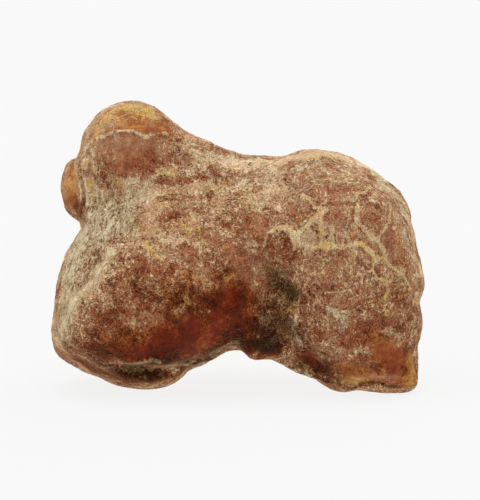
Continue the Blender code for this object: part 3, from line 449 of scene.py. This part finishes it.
        (0.4, 0.4, (6.8, 28.5), (10.8, 28.5)), (0.6, 0.3, (23.2, 17.1), (24.6, 15.8), (26.2, 14.4)),
        # The right foot.
        (0.6, 0.3, (25.9, 11.1), (26.6, 7.5), (26.8, 4.2)),
        (0.7, 0.4, (9.0, 4.5), (10.2, 3.6), (11.5, 2.5)),
    ), (
        (0.9, 0.4, (8.7, 30.6), (11.1, 27.9), (14.1, 26.6), (17.4, 27.3)),
        (0.9, 0.4, (14.1, 26.6), (14.5, 23.1), (12.8, 20.1), (13.8, 16.5)),
        (0.8, 0.3, (17.4, 27.3), (19.5, 24.6), (22.2, 23.7)),
        (0.9, 0.4, (14.5, 23.1), (17.7, 21.6), (20.1, 19.2), (20.7, 15.0)),
        (0.7, 0.3, (9.0, 19.2), (12.8, 20.1)), (0.8, 0.4, (6.6, 24.6), (9.3, 23.1), (10.5, 20.7)),
        (0.7, 0.3, (20.1, 19.2), (23.4, 18.3), (24.9, 15.9)),
        (0.6, 0.3, (13.8, 16.5), (16.2, 14.1), (15.9, 11.1)),
        (0.8, 0.4, (-18.0, 23.1), (-15.6, 20.4), (-16.2, 16.5), (-14.1, 12.9)),
        (0.7, 0.3, (-15.6, 20.4), (-11.7, 21.3), (-8.1, 20.1), (-6.3, 17.4)),
        (0.6, 0.3, (-16.2, 16.5), (-18.9, 15.0), (-20.1, 11.7)),
        (0.6, 0.4, (-11.7, 21.3), (-10.5, 24.3), (-11.7, 26.7)),
        (0.7, 0.3, (-20.1, 36.6), (-16.8, 36.0), (-13.2, 36.6)),
    )),
    # Where the crust is yellow.
    "mustard": (0.0, (
        # The knob and its lobe.
        (1.2, 0.7, (-19.5, 41.5), (-16.3, 42.6)), (1.1, 0.5, (-20.4, 40.4), (-18.8, 40.9)),
        (1.1, 0.7, (-21.0, 39.3), (-20.1, 40.0)), (0.9, 0.5, (-21.1, 39.0), (-20.1, 40.2)),
        (0.9, 0.5, (-15.0, 42.8), (-12.9, 42.0)), (0.7, 0.4, (-18.0, 40.8), (-15.9, 41.7)),
        (0.7, 0.4, (-21.9, 38.4), (-20.7, 37.8)), (0.6, 0.4, (-15.9, 40.5), (-13.2, 41.1)),
        (0.9, 0.4, (-22.2, 31.2), (-21.8, 28.2)), (0.45, 0.6, (-10.5, 33.0), (-8.1, 31.8)),
        # The saddle and the top.
        (0.6, 0.6, (9.9, 34.5), (13.8, 34.8)),
        # The bulge.
        (0.8, 0.6, (-13.5, 22.5), (-12.9, 21.0), (-12.4, 19.9)), (0.6, 0.5, (-12.0, 21.6), (-10.5, 21.0)),
        (0.8, 0.4, (-6.0, 24.0), (-5.1, 21.9)), (0.6, 0.5, (-8.4, 25.2), (-7.2, 22.8)),
        (0.85, 0.5, (-6.8, 17.1), (-5.2, 16.6)), (0.6, 0.5, (-2.4, 17.2), (-1.3, 16.8)),
        (0.8, 0.4, (-24.6, 9.0), (-24.1, 8.2)), (0.6, 0.8, (-9.0, 14.7), (-7.5, 13.5)),
        (0.6, 0.5, (-10.5, 13.5), (-9.6, 12.6)),
        # The valley.
        (0.8, 0.4, (7.5, 12.6), (8.1, 12.2)),
        # The block.
        (0.35, 0.5, (11.4, 21.4), (13.8, 21.8)), (0.9, 0.4, (18.1, 22.1), (19.2, 21.6)),
        (0.8, 0.4, (20.4, 20.2), (21.6, 19.8)), (0.7, 0.5, (21.6, 16.2), (22.2, 13.8)),
        (0.5, 0.8, (12.3, 23.7), (12.9, 22.1)),
    ), (
        (0.9, 0.6, (9.3, 22.8), (10.9, 21.0)), (0.8, 0.6, (-9.9, 28.8), (-7.5, 27.6)),
        (0.9, 0.5, (-16.2, 20.4), (-15.0, 19.5)), (1.0, 0.5, (-18.9, 41.5), (-16.2, 42.3)),
        (0.8, 0.4, (19.8, 19.8), (21.0, 18.6)),
    )),
    # Where the resin is gold or orange: its own gold, and a painted glow of light shining through its thin
    # parts, as at the lobe, the lower left edge and the right foot.
    "gold_and_glow": (0.0, (
        # The knob and its lobe.
        (0.4, 1.5, (-15.3, 42.3), (-12.3, 40.8)), (0.5, 1.2, (-20.1, 40.8), (-18.3, 42.0), (-13.8, 41.7)),
        (0.45, 1.2, (-26.4, 33.6), (-26.1, 30.0)), (0.6, 0.8, (-16.5, 39.6), (-14.7, 39.4)),
        (0.3, 0.8, (-14.4, 39.3), (-11.2, 39.1)),
        # The bulge.
        (0.6, 1.2, (-27.0, 7.8), (-25.8, 5.7)), (0.3, 1.3, (-8.7, 13.2), (-4.8, 12.6)),
        (0.4, 0.8, (-3.3, 17.6), (-0.6, 17.2)),
        # The valley.
        (0.7, 0.4, (2.4, 5.1), (5.1, 5.1)),
        # The block.
        (0.4, 1.1, (21.6, 13.5), (22.5, 11.7)),
        # The right foot.
        (-0.7, 1.1, (21.9, 5.7), (24.6, 5.2)), (-0.25, 1.3, (16.1, 3.3), (20.1, 3.0)),
        (0.5, 1.2, (24.6, 2.4), (26.4, 1.5)), (0.8, 1.1, (25.5, 4.5), (26.4, 2.7), (25.8, 0.9)),
        (0.9, 0.9, (15.9, 1.6), (19.2, 1.3)), (0.9, 0.6, (17.8, 1.3), (18.9, 1.2)),
        (0.3, 1.5, (21.9, 5.7), (24.9, 5.1)),
    ), (
        (0.5, 1.2, (20.1, 4.8), (24.3, 3.9)), (0.6, 0.9, (-18.0, 40.2), (-14.1, 39.9)),
        (0.4, 1.2, (-3.6, 14.4), (-1.2, 13.8)),
    )),
    # Where the skin is darker and olive: in its hollows, creases and pits, and under the lip.
    "darkened_hollows": (0.0, (
        # The knob and its lobe.
        (0.8, 0.4, (-21.9, 28.5), (-21.6, 28.2)), (0.6, 0.4, (-23.7, 33.3), (-23.1, 27.6)),
        # The saddle and the top.
        (0.8, 0.6, (20.1, 31.8), (20.6, 31.5)),
        # The bulge.
        (0.9, 0.4, (-23.7, 13.8), (-23.4, 13.3)), (0.7, 0.3, (-24.1, 12.6), (-23.8, 12.3)),
        (0.5, 0.4, (-25.3, 9.3), (-25.1, 9.0)),
        # The left foot and its lip.
        (0.2, 0.8, (-16.9, 2.9), (-11.7, 2.4), (-5.1, 3.0)), (0.25, 1.3, (-20.7, 2.7), (-13.2, 1.5)),
        # The valley.
        (0.75, 1.3, (6.0, 16.8), (7.2, 15.3), (8.4, 14.1)),
        (0.4, 2.2, (5.1, 16.5), (6.9, 14.7), (5.4, 9.0)), (0.45, 1.8, (6.9, 10.2), (8.4, 8.7)),
        (0.35, 1.8, (4.2, 8.1), (5.1, 7.2)), (0.6, 0.9, (2.1, 6.8), (5.1, 6.1)),
        # The right foot.
        (0.7, 0.3, (13.3, 3.9), (13.3, 1.5)),
    ), (
        (0.7, 1.3, (5.7, 18.3), (6.9, 13.8)), (0.45, 1.8, (4.5, 12.9), (6.3, 7.8)),
        (0.6, 0.6, (-21.3, 19.2), (-22.5, 15.9)), (0.6, 0.4, (16.5, 13.5), (17.1, 12.6)),
    )),
    # Where the crust cracked into a net of veins.
    "net": (0.0, (
        (0.8, 5.4, (14.7, 26.4), (19.2, 19.2)),
    ), (
        (0.8, 6.6, (12.3, 26.2), (19.2, 16.5)), (0.55, 6.0, (-17.7, 22.5), (-10.2, 13.5)),
    )),
    # Where a pale film dried on it.
    "film": (0.0, (
        # The bulge.
        (0.6, 0.6, (-3.6, 5.7), (-0.3, 7.2)), (0.4, 0.4, (-4.2, 17.1), (-2.1, 18.3)),
        # The left foot and its lip.
        (0.9, 0.4, (-15.4, 4.2), (-12.6, 4.6), (-7.3, 3.8), (-3.9, 4.2)),
        (0.6, 0.9, (-16.2, 3.6), (-11.7, 4.0), (-7.2, 4.2), (-3.3, 5.7), (0.0, 6.9)),
        (0.55, 1.1, (-16.8, 3.6), (-13.8, 2.7), (-9.3, 2.7)),
        # The block.
        (1.0, 0.5, (15.6, 10.8), (15.8, 9.3)), (0.5, 0.4, (14.4, 11.7), (15.6, 10.8)),
        (1.0, 0.7, (22.2, 8.8), (24.3, 8.4)), (0.5, 0.8, (13.5, 12.2), (14.4, 11.8)),
        # The right foot.
        (0.7, 0.8, (7.0, 3.6), (10.0, 2.4), (13.0, 1.5)), (0.6, 0.9, (18.0, 6.0), (19.2, 5.7)),
    ), (
        (0.9, 0.6, (14.7, 9.0), (16.3, 8.1)), (0.6, 0.8, (-6.0, 6.0), (-2.7, 6.9)),
        (0.7, 0.5, (3.3, 27.6), (4.5, 26.7)),
    )),
}

# The small forms, in the same way: how far each stroke rises or, below 0, sinks, in mm.
FORMS = (0.0, (
    # The knob and its lobe.
    (0.25, 0.5, (-20.2, 37.9), (-18.0, 38.7), (-15.9, 38.7), (-13.9, 37.9), (-10.9, 38.4)),
    (-0.25, 0.8, (-17.7, 39.6), (-11.7, 39.6)), (0.25, 0.4, (-23.1, 34.5), (-22.8, 31.5), (-22.5, 27.8)),
    (-0.6, 0.5, (-24.0, 33.8), (-23.4, 27.9)), (0.2, 0.4, (-21.9, 36.6), (-21.4, 32.7)),
    (-0.15, 0.4, (-21.0, 36.0), (-20.6, 32.4)), (-0.25, 0.4, (-21.9, 28.5), (-21.4, 28.1)),
    # The saddle and the top.
    (-0.3, 0.4, (20.1, 31.8), (20.6, 31.5)),
    # The bulge.
    (0.35, 0.7, (-19.2, 20.1), (-21.3, 16.5), (-24.0, 13.5), (-25.8, 9.9)),
    (-0.35, 0.4, (-23.7, 13.9), (-23.4, 13.2)), (-0.3, 0.4, (-24.1, 12.6), (-23.8, 12.2)),
    (-0.2, 1.3, (-7.2, 10.2), (-6.3, 7.2)), (0.2, 1.2, (-3.8, 10.2), (-3.3, 6.8)),
    (-0.25, 0.6, (-13.2, 18.9), (-12.2, 18.6)), (-0.25, 0.5, (-16.1, 12.2), (-15.6, 11.7)),
    (-0.25, 0.5, (-11.8, 15.0), (-11.2, 15.3)), (-0.2, 0.5, (-18.9, 10.5), (-18.3, 10.2)),
    (0.2, 0.6, (0.3, 19.2), (3.0, 18.0)), (-0.25, 0.9, (-0.3, 24.9), (1.5, 24.0)),
    (0.2, 0.8, (-9.3, 22.5), (-6.3, 21.3)), (-0.2, 0.8, (-4.8, 23.7), (-3.6, 22.5)),
    # The left foot and its lip.
    (0.3, 0.4, (-15.4, 4.3), (-12.0, 4.8), (-7.2, 3.9), (-3.9, 4.2)),
    (-0.35, 0.8, (-16.5, 3.1), (-11.7, 2.7), (-5.0, 3.1)),
    # The valley.
    (-0.5, 1.3, (5.7, 16.6), (7.8, 14.7)), (-0.35, 1.2, (6.8, 10.5), (7.9, 8.7)),
    (-0.35, 0.8, (3.6, 19.2), (4.8, 17.7)),
    # The block.
    (0.35, 0.8, (4.0, 21.6), (4.5, 23.4), (6.0, 24.3), (7.8, 24.0), (8.4, 22.5)),
    (-0.2, 0.9, (12.0, 19.2), (13.8, 18.9)),
    # The right foot.
    (-0.5, 0.8, (19.2, 1.2), (21.0, 0.9)), (-0.35, 0.4, (21.0, 0.6), (22.1, 1.3)),
    (-0.35, 0.4, (13.3, 4.2), (13.5, 1.5)), (-0.5, 1.1, (10.3, 4.6), (12.0, 3.6)),
    (0.25, 0.4, (9.0, 4.8), (10.2, 3.1), (11.7, 1.8)),
), (
    (0.25, 0.6, (8.7, 30.6), (11.1, 27.9), (14.1, 26.6), (17.4, 27.3)),
    (0.22, 0.6, (14.5, 23.1), (17.7, 21.6), (20.1, 19.2), (20.7, 15.0)),
    (-0.4, 1.1, (4.8, 13.5), (6.3, 9.0)),
    (0.3, 0.6, (-18.0, 23.1), (-15.6, 20.4), (-16.2, 16.5), (-14.1, 12.9)),
    (-0.25, 0.6, (-11.7, 15.0), (-11.1, 14.7)), (-0.3, 0.6, (-4.8, 21.0), (-4.2, 20.6)),
    (-0.25, 1.1, (-2.4, 12.9), (0.9, 10.5)), (0.3, 0.8, (-9.3, 27.8), (-5.7, 25.2), (-6.3, 21.0)),
    (-0.3, 0.6, (21.3, 13.5), (21.9, 12.6)),
))
FLAT_RISE = 1.2 * MM  # how far up from the worn flats the relief reaches its full height
lying = np.clip(even[:, 2] / FLAT_RISE, 0, 1)
masks = {kind: np.clip(painted(*strokes), 0, 1) for kind, strokes in KINDS.items()}
masks["away"] = np.clip(looks[:, 1] * 1.6 + 0.2, 0, 1)  # turned away from the showing side
# The rim carries painted light: along it the skin is painted a little lighter, paler and more khaki.
masks["rim"] = np.clip(1.1 - np.abs(looks[:, 1]) * 3, 0, 1)  # edge-on to the showing side


def keep(name, values):
    """Keeps a value for each point of the lump, for its material to read."""
    lump.data.attributes.new(name, "FLOAT", "POINT").data.foreach_set("value", values)


def weigh(name, share):
    """A vertex group, in steps of weight, for a modifier to work through."""
    group = lump.vertex_groups.new(name=name)
    levels = 40
    level_of = np.round(share * levels).astype(int)
    for level in range(1, levels + 1):
        group.add(np.flatnonzero(level_of == level).tolist(), level / levels, "REPLACE")


for name, share in masks.items():
    keep(name, share)
move(lump, even + looks * (painted(*FORMS) * MM * lying)[:, None])
weigh("rough", (0.25 + 0.75 * masks["crust"]) * lying)
weigh("veins", masks["vein"] * lying)
weigh("all", lying)

# The relief: a name, how wide its forms are and how high, in mm, and where it lies.
RELIEF = (("lumps", 3.0, 0.45, "all"), ("crumbs", 1.0, 0.34, "rough"), ("grit", 0.55, 0.2, "rough"))
VEIN_HEIGHT = 0.16 * MM
for name, width, height, where in RELIEF:
    texture = bpy.data.textures.new(name, "CLOUDS")
    texture.noise_scale = width * MM
    texture.noise_depth = 2
    modify(lump, "DISPLACE", texture=texture, texture_coords="LOCAL", strength=height * MM,
           mid_level=0.5, vertex_group=where)
modify(lump, "DISPLACE", strength=VEIN_HEIGHT, mid_level=0.0, vertex_group="veins")
lump.vertex_groups.clear()
dressed = points_of(lump)
keep("relief", np.einsum("ij,ij->i", dressed - even, looks) / MM)
dressed[:, 2] = np.clip(dressed[:, 2], 0, None)
move(lump, dressed)


class Wire:
    """An output of a material's nodes. Sums on it add Math nodes, and node() adds any other kind."""

    def __init__(self, tree, end=None):
        self.tree = tree
        self.end = end

    def node(self, kind, values=None, out=0, stops=None, **settings):
        """An output of a new node, from its settings, its ramp's stops and its sockets' values or links."""
        made = self.tree.nodes.new("ShaderNode" + kind)
        for name, value in settings.items():
            setattr(made, name, value)
        if stops:
            ramp = made.color_ramp.elements
            while len(ramp) < len(stops):
                ramp.new(1.0)
            for stop, (at, colour) in zip(ramp, stops):
                stop.position = at
                stop.color = (*colour, 1)
        for name, value in (values or {}).items():
            if isinstance(value, Wire):
                self.tree.links.new(value.end, made.inputs[name])
            elif made.inputs[name].type == "RGBA":
                made.inputs[name].default_value = (*value, 1)
            else:
                made.inputs[name].default_value = value
        return Wire(self.tree, made.outputs[out] if made.outputs else None)

    def maths(self, operation, *terms):
        """A Math node on these values or outputs."""
        return self.node("Math", dict(enumerate(terms)), operation=operation)

    def __add__(self, other):
        return self.maths("ADD", self, other)

    def __radd__(self, other):
        return self.maths("ADD", other, self)

    def __sub__(self, other):
        return self.maths("SUBTRACT", self, other)

    def __rsub__(self, other):
        return self.maths("SUBTRACT", other, self)

    def __mul__(self, other):
        return self.maths("MULTIPLY", self, other)

    def __rmul__(self, other):
        return self.maths("MULTIPLY", other, self)

    def __neg__(self):
        return self.maths("SUBTRACT", 0.0, self)

    def __abs__(self):
        return self.maths("ABSOLUTE", self)

    def most(self, other):
        """The greater of the two."""
        return self.maths("MAXIMUM", self, other)

    def step(self, low, high):
        """0 up to low and 1 from high, with a smooth rise between them."""
        values = {"Value": self, "From Min": low, "From Max": high}
        return self.node("MapRange", values, interpolation_type="SMOOTHSTEP")

    def over(self, share, colour):
        """This colour with another laid over a share of it."""
        return self.node("Mix", {0: share, 6: self, 7: colour}, out=2, data_type="RGBA")


resin = bpy.data.materials.new("crusted_amber")
resin.use_nodes = True
resin.node_tree.nodes.clear()
graph = Wire(resin.node_tree)
place = graph.node("VectorMath", {0: graph.node("TexCoord", out="Object"), "Scale": 1 / MM},
                   operation="SCALE")  # in mm


def read(name):
    """What was kept for each point of the lump under this name."""
    return graph.node("Attribute", out="Fac", attribute_name=name, attribute_type="GEOMETRY")


def noise(where, per_mm, detail=3.0, rough=0.6, twist=0.0):
    """A noise that swings to both sides of 0."""
    values = {"Vector": where, "Scale": per_mm, "Detail": detail, "Roughness": rough, "Distortion": twist}
    return graph.node("TexNoise", values) - 0.5


def drawn(turns, stretch):
    """The place turned, then drawn out."""
    return graph.node("Mapping", {"Vector": place, "Rotation": turns, "Scale": stretch})


def tangle(where, per_mm, curl, thin):
    """Loose hairs, along the lines where a curly noise passes 0. Thin says where their edges lie."""
    return (1 - abs(noise(where, per_mm, 2.0, 0.5, curl)) * 3.4).step(*thin)


crust, tone_and_painted_light, warm, window = read("crust"), read("tone_and_painted_light"), read("warm"), read("window")
khaki, vein, net, mustard = read("khaki"), read("vein"), read("net"), read("mustard")
gold_and_glow, darkened_hollows, film, relief = read("gold_and_glow"), read("darkened_hollows"), read("film"), read("relief")
away, rim = read("away"), read("rim")
grainy = 1 - read("worn") * 0.55

# Broad patches, over the skin that turns away from the showing side, and painted light along the rim: a
# little lighter, paler and more khaki.
patches = noise(place, 0.11, 3.0, 0.55, 0.6) * away
tone_and_painted_light = tone_and_painted_light + noise(place, 0.16, 3.0, 0.55, 0.4) * away * 1.4 + rim * 0.01
crust = crust + patches * 2.4 + rim * 0.1
window = window + (-patches).step(0.07, 0.16) * 0.6
khaki = khaki + patches.step(0.05, 0.14) * 0.35 + rim * 0.4

# The grain, from forms of 2 mm down to specks of 0.2 mm, and streaks that run up the lump.
middling = noise(place, 0.45)
clumps = noise(place, 1.1, 2.0, 0.6, 0.4)
crumbs = noise(place, 2.6, 2.0, 0.7, 0.5)
specks = noise(place, 4.8, 1.0, 0.7)
streaks = noise(drawn((0.0, 0.15, 0.0), (1.3, 1.3, 0.22)), 1.3, 2.0, 0.7)
ragged = middling * 0.7 + clumps * 0.9 + crumbs * 0.6

# Veins of thicker crust, along the cracks, and a net of finer ones.
sway = graph.node("TexNoise", {"Vector": place, "Scale": 0.5}, out="Color")
swayed = graph.node("VectorMath", {0: sway, 1: (1.6, 1.6, 1.6), 2: place}, operation="MULTIPLY_ADD")
net_lines = graph.node("TexVoronoi", {"Vector": swayed, "Scale": 0.21}, feature="DISTANCE_TO_EDGE")
net_share = (net * 0.8 - net_lines * 5.0 + ragged * 0.7).step(0.3, 0.55) * 0.7
vein_share = ((vein + ragged * 1.4).step(0.22, 0.66) * vein.step(0.02, 0.2)).most(net_share)

# Loose hairs of crust: four tangles, each turned and drawn out its own way and broken into short lengths.
HAIR = (0.89, 0.98)
hairs = tangle(place, 0.45, 1.6, HAIR) * clumps.step(-0.06, 0.04)
for turns, stretch, per_mm, curl, thin, lengths in (
        ((0.9, 0.3, 0.5), (1.0, 1.5, 0.6), 0.6, 1.2, HAIR, (-clumps).step(-0.06, 0.04)),
        ((0.2, 1.2, 0.1), (1.4, 1.0, 0.6), 0.75, 1.0, (0.88, 0.97), middling.step(-0.06, 0.06)),
        ((1.3, 0.5, 0.9), (0.7, 1.0, 1.4), 0.5, 2.2, (0.88, 0.98), (-middling).step(-0.06, 0.04))):
    hairs = hairs.most(tangle(drawn(turns, stretch), per_mm, curl, thin) * lengths)

# How much fibrous crust covers each point: hairs where it is thin, then crumbs, then all but its pits.
bed = (crust - 0.5) * 1.6 + middling * 1.5 + clumps * 1.2
cover = (crumbs * 1.6 * grainy + bed + relief * 0.6 - net * 0.1 - 0.1).step(-0.16, 0.2)
stuck = hairs * (bed + 0.45).step(0.0, 0.35) * (0.9 - window * 0.8) * grainy
cover = cover.most(vein_share * 0.9).most(stuck)

# How light each point is, in the resin and in the crust on it, with the painted light and shade of the
# tone.
ridged = streaks * khaki * 2.1
resin_light = (tone_and_painted_light + middling * 0.8 + clumps * 0.5 + ridged + 0.05
               + (crumbs * 0.8 + specks * 1.2) * (1 - window * 0.8) * grainy)
crust_light = (tone_and_painted_light + middling * 0.4 + ridged + relief * 0.5 - darkened_hollows * 0.22 + hairs * 0.36
               + (crumbs * 0.6 + specks * 1.2) * grainy)


def skin_of(light, *stops):
    """A colour for each point, from its darkest pits to its lightest crumbs."""
    return graph.node("ValToRGB", {"Fac": light}, stops=stops)


plum = skin_of(resin_light, (0.0, (0.040, 0.007, 0.002)), (0.3, (0.15, 0.030, 0.010)),
               (0.5, (0.30, 0.091, 0.039)), (0.7, (0.45, 0.178, 0.087)), (1.0, (0.64, 0.320, 0.170)))
rust = skin_of(resin_light, (0.0, (0.050, 0.009, 0.001)), (0.3, (0.18, 0.033, 0.006)),
               (0.5, (0.34, 0.097, 0.024)), (0.7, (0.51, 0.200, 0.062)), (1.0, (0.72, 0.370, 0.140)))
clear = skin_of(resin_light, (0.0, (0.090, 0.008, 0.000)), (0.3, (0.21, 0.020, 0.001)),
                (0.6, (0.36, 0.085, 0.020)), (1.0, (0.62, 0.260, 0.090)))
gold = skin_of(resin_light, (0.0, (0.14, 0.026, 0.003)), (0.3, (0.28, 0.070, 0.010)),
               (0.6, (0.55, 0.225, 0.036)), (1.0, (0.84, 0.520, 0.130)))
moss = skin_of(resin_light, (0.0, (0.028, 0.009, 0.002)), (0.4, (0.065, 0.027, 0.006)),
               (0.7, (0.20, 0.108, 0.036)), (1.0, (0.40, 0.260, 0.120)))
tan = skin_of(crust_light, (0.0, (0.18, 0.056, 0.019)), (0.3, (0.37, 0.157, 0.070)),
              (0.5, (0.53, 0.264, 0.132)), (0.7, (0.71, 0.410, 0.220)), (1.0, (0.95, 0.720, 0.450)))
olive = skin_of(crust_light, (0.0, (0.12, 0.060, 0.024)), (0.3, (0.29, 0.185, 0.090)),
                (0.5, (0.44, 0.308, 0.162)), (0.7, (0.61, 0.455, 0.262)), (1.0, (0.88, 0.750, 0.510)))
honey = skin_of(crust_light, (0.0, (0.20, 0.066, 0.014)), (0.3, (0.38, 0.180, 0.055)),
                (0.5, (0.54, 0.300, 0.112)), (0.7, (0.71, 0.455, 0.200)), (1.0, (0.94, 0.750, 0.430)))
yellow = skin_of(crust_light, (0.0, (0.30, 0.130, 0.030)), (0.5, (0.66, 0.380, 0.100)),
                 (1.0, (0.92, 0.630, 0.210)))
ashen = skin_of(crust_light, (0.0, (0.25, 0.180, 0.070)), (0.4, (0.60, 0.500, 0.250)),
                (0.8, (0.95, 0.880, 0.580)))

# Where each colour lies. Each painted edge is broken up by the grain.
warm_share = (warm + noise(place, 0.28, 3.0, 0.6, 0.5) * 1.6 + ragged * 0.4).step(0.15, 0.75)
window_share = (window + ragged * 0.6).step(0.15, 0.7) * window.step(0.02, 0.3)
gold_share = (gold_and_glow + ragged * 0.5).step(0.2, 0.7) * gold_and_glow.step(0.02, 0.25)
khaki_share = (khaki + ragged * 0.6).step(0.15, 0.8) * khaki.step(0.02, 0.3)
honey_share = noise(place, 0.33, 3.0, 0.7, 0.4).step(-0.04, 0.14) * (1 - khaki)
mustard_share = (mustard + ragged * 1.9).step(0.3, 0.72) * mustard.step(0.05, 0.3)
film_share = (film + ragged * 2.8).step(0.35, 0.9) * film.step(0.05, 0.3)
darkened_hollows_share = (darkened_hollows + ragged * 2.0).step(0.05, 0.8) * darkened_hollows.step(0.03, 0.25)

below = plum.over(warm_share, rust).over(window_share, clear).over(gold_share, gold).over(darkened_hollows_share, moss)
above = tan.over(honey_share.most(vein_share * 0.7), honey).over(khaki_share, olive)
above = above.over(mustard_share * (0.7 + cover * 0.3), yellow).over(darkened_hollows_share * 0.5, olive)
colour = below.over(cover.most(mustard_share * 0.6), above).over(film_share * (0.35 + cover * 0.5), ashen)

# The fine bumps of the crust, flatter in the windows and along the rim.
BUMP_HEIGHT = 0.22 * MM
glossy = window_share * (1 - cover)
bumps = cover * 0.5 + hairs * 0.5 + crumbs * 0.9 + specks * 0.3 + vein_share * 0.4 + 0.6
bumped = graph.node("Bump", {"Strength": 1.0, "Distance": BUMP_HEIGHT,
                             "Height": bumps * (1 - glossy * 0.9) * (1 - rim * 0.65)})

# The skin, and the clear resin that shows a little through its windows and darkens with depth.
RESIN_INDEX = 1.54
skin_shader = graph.node("BsdfPrincipled", {
    "Base Color": colour,
    "Roughness": 0.75 - glossy * 0.4,
    "IOR": RESIN_INDEX,
    "Specular IOR Level": 0.02,
    "Sheen Weight": 0.34,
    "Sheen Roughness": 0.3,
    "Sheen Tint": (1.0, 0.68, 0.38),
    "Coat Weight": glossy * 0.05,
    "Coat Roughness": 0.15,
    "Normal": bumped,
})
clear_shader = graph.node("BsdfPrincipled", {
    "Base Color": (1.0, 0.32, 0.04),
    "Roughness": 0.25,
    "IOR": RESIN_INDEX,
    "Specular IOR Level": 0.0,
    "Transmission Weight": 1.0,
})
windowed = graph.node("MixShader", {"Fac": glossy * 0.15, 1: skin_shader, 2: clear_shader})
inside = graph.node("VolumeAbsorption", {"Color": (0.95, 0.66, 0.08), "Density": 450.0})
graph.node("OutputMaterial", {"Surface": windowed, "Volume": inside})
lump.data.materials.clear()
lump.data.materials.append(resin)

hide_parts("amber")
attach(lump, "root")


# ---------------------------------------------------------------------------------------------------------
# The surface it lies on, and the soft light: a wide white floor under a broad overhead panel, in a white
# room.
# The floor glows, so that it stays near white up to its far edge.
# ---------------------------------------------------------------------------------------------------------
FLOOR_WIDTH = 8.0
FLOOR_TOP = -0.02 * MM  # a hair below the lump, so that no faces coincide

bpy.ops.object.select_all(action="DESELECT")
bpy.ops.mesh.primitive_plane_add(size=FLOOR_WIDTH, location=(0, 0, FLOOR_TOP))
floor = bpy.context.object
floor.name = floor.data.name = "white_surface"
bpy.ops.object.transform_apply(location=True, rotation=True, scale=True)
white = bpy.data.materials.new("white_surface")
white.use_nodes = True
paint = white.node_tree.nodes["Principled BSDF"]
paint.inputs["Base Color"].default_value = (0.08, 0.08, 0.08, 1)
paint.inputs["Roughness"].default_value = 0.6
paint.inputs["Specular IOR Level"].default_value = 0.0
paint.inputs["Emission Color"].default_value = (1, 1, 1, 1)
paint.inputs["Emission Strength"].default_value = 0.85
floor.data.materials.append(white)


def shine(name, comes_from, spread, strength):
    """A broad, soft light from one side."""
    turned = (-Vector(comes_from)).to_track_quat("-Z", "Y").to_euler()
    bpy.ops.object.light_add(type="SUN", location=comes_from, rotation=turned)
    light = bpy.context.object
    light.name = name
    light.data.angle = math.radians(spread)
    light.data.energy = strength


shine("overhead_panel", (-0.15, -0.25, 0.95), 70, 2.1)
shine("white_backdrop", (0.6, 0.8, 0.45), 90, 1.5)

world = bpy.data.worlds.new("white_room")
world.use_nodes = True
world.node_tree.nodes["Background"].inputs["Color"].default_value = (1.0, 1.0, 1.0, 1)
world.node_tree.nodes["Background"].inputs["Strength"].default_value = 0.35
scene.world = world
scene.view_settings.view_transform = "Standard"
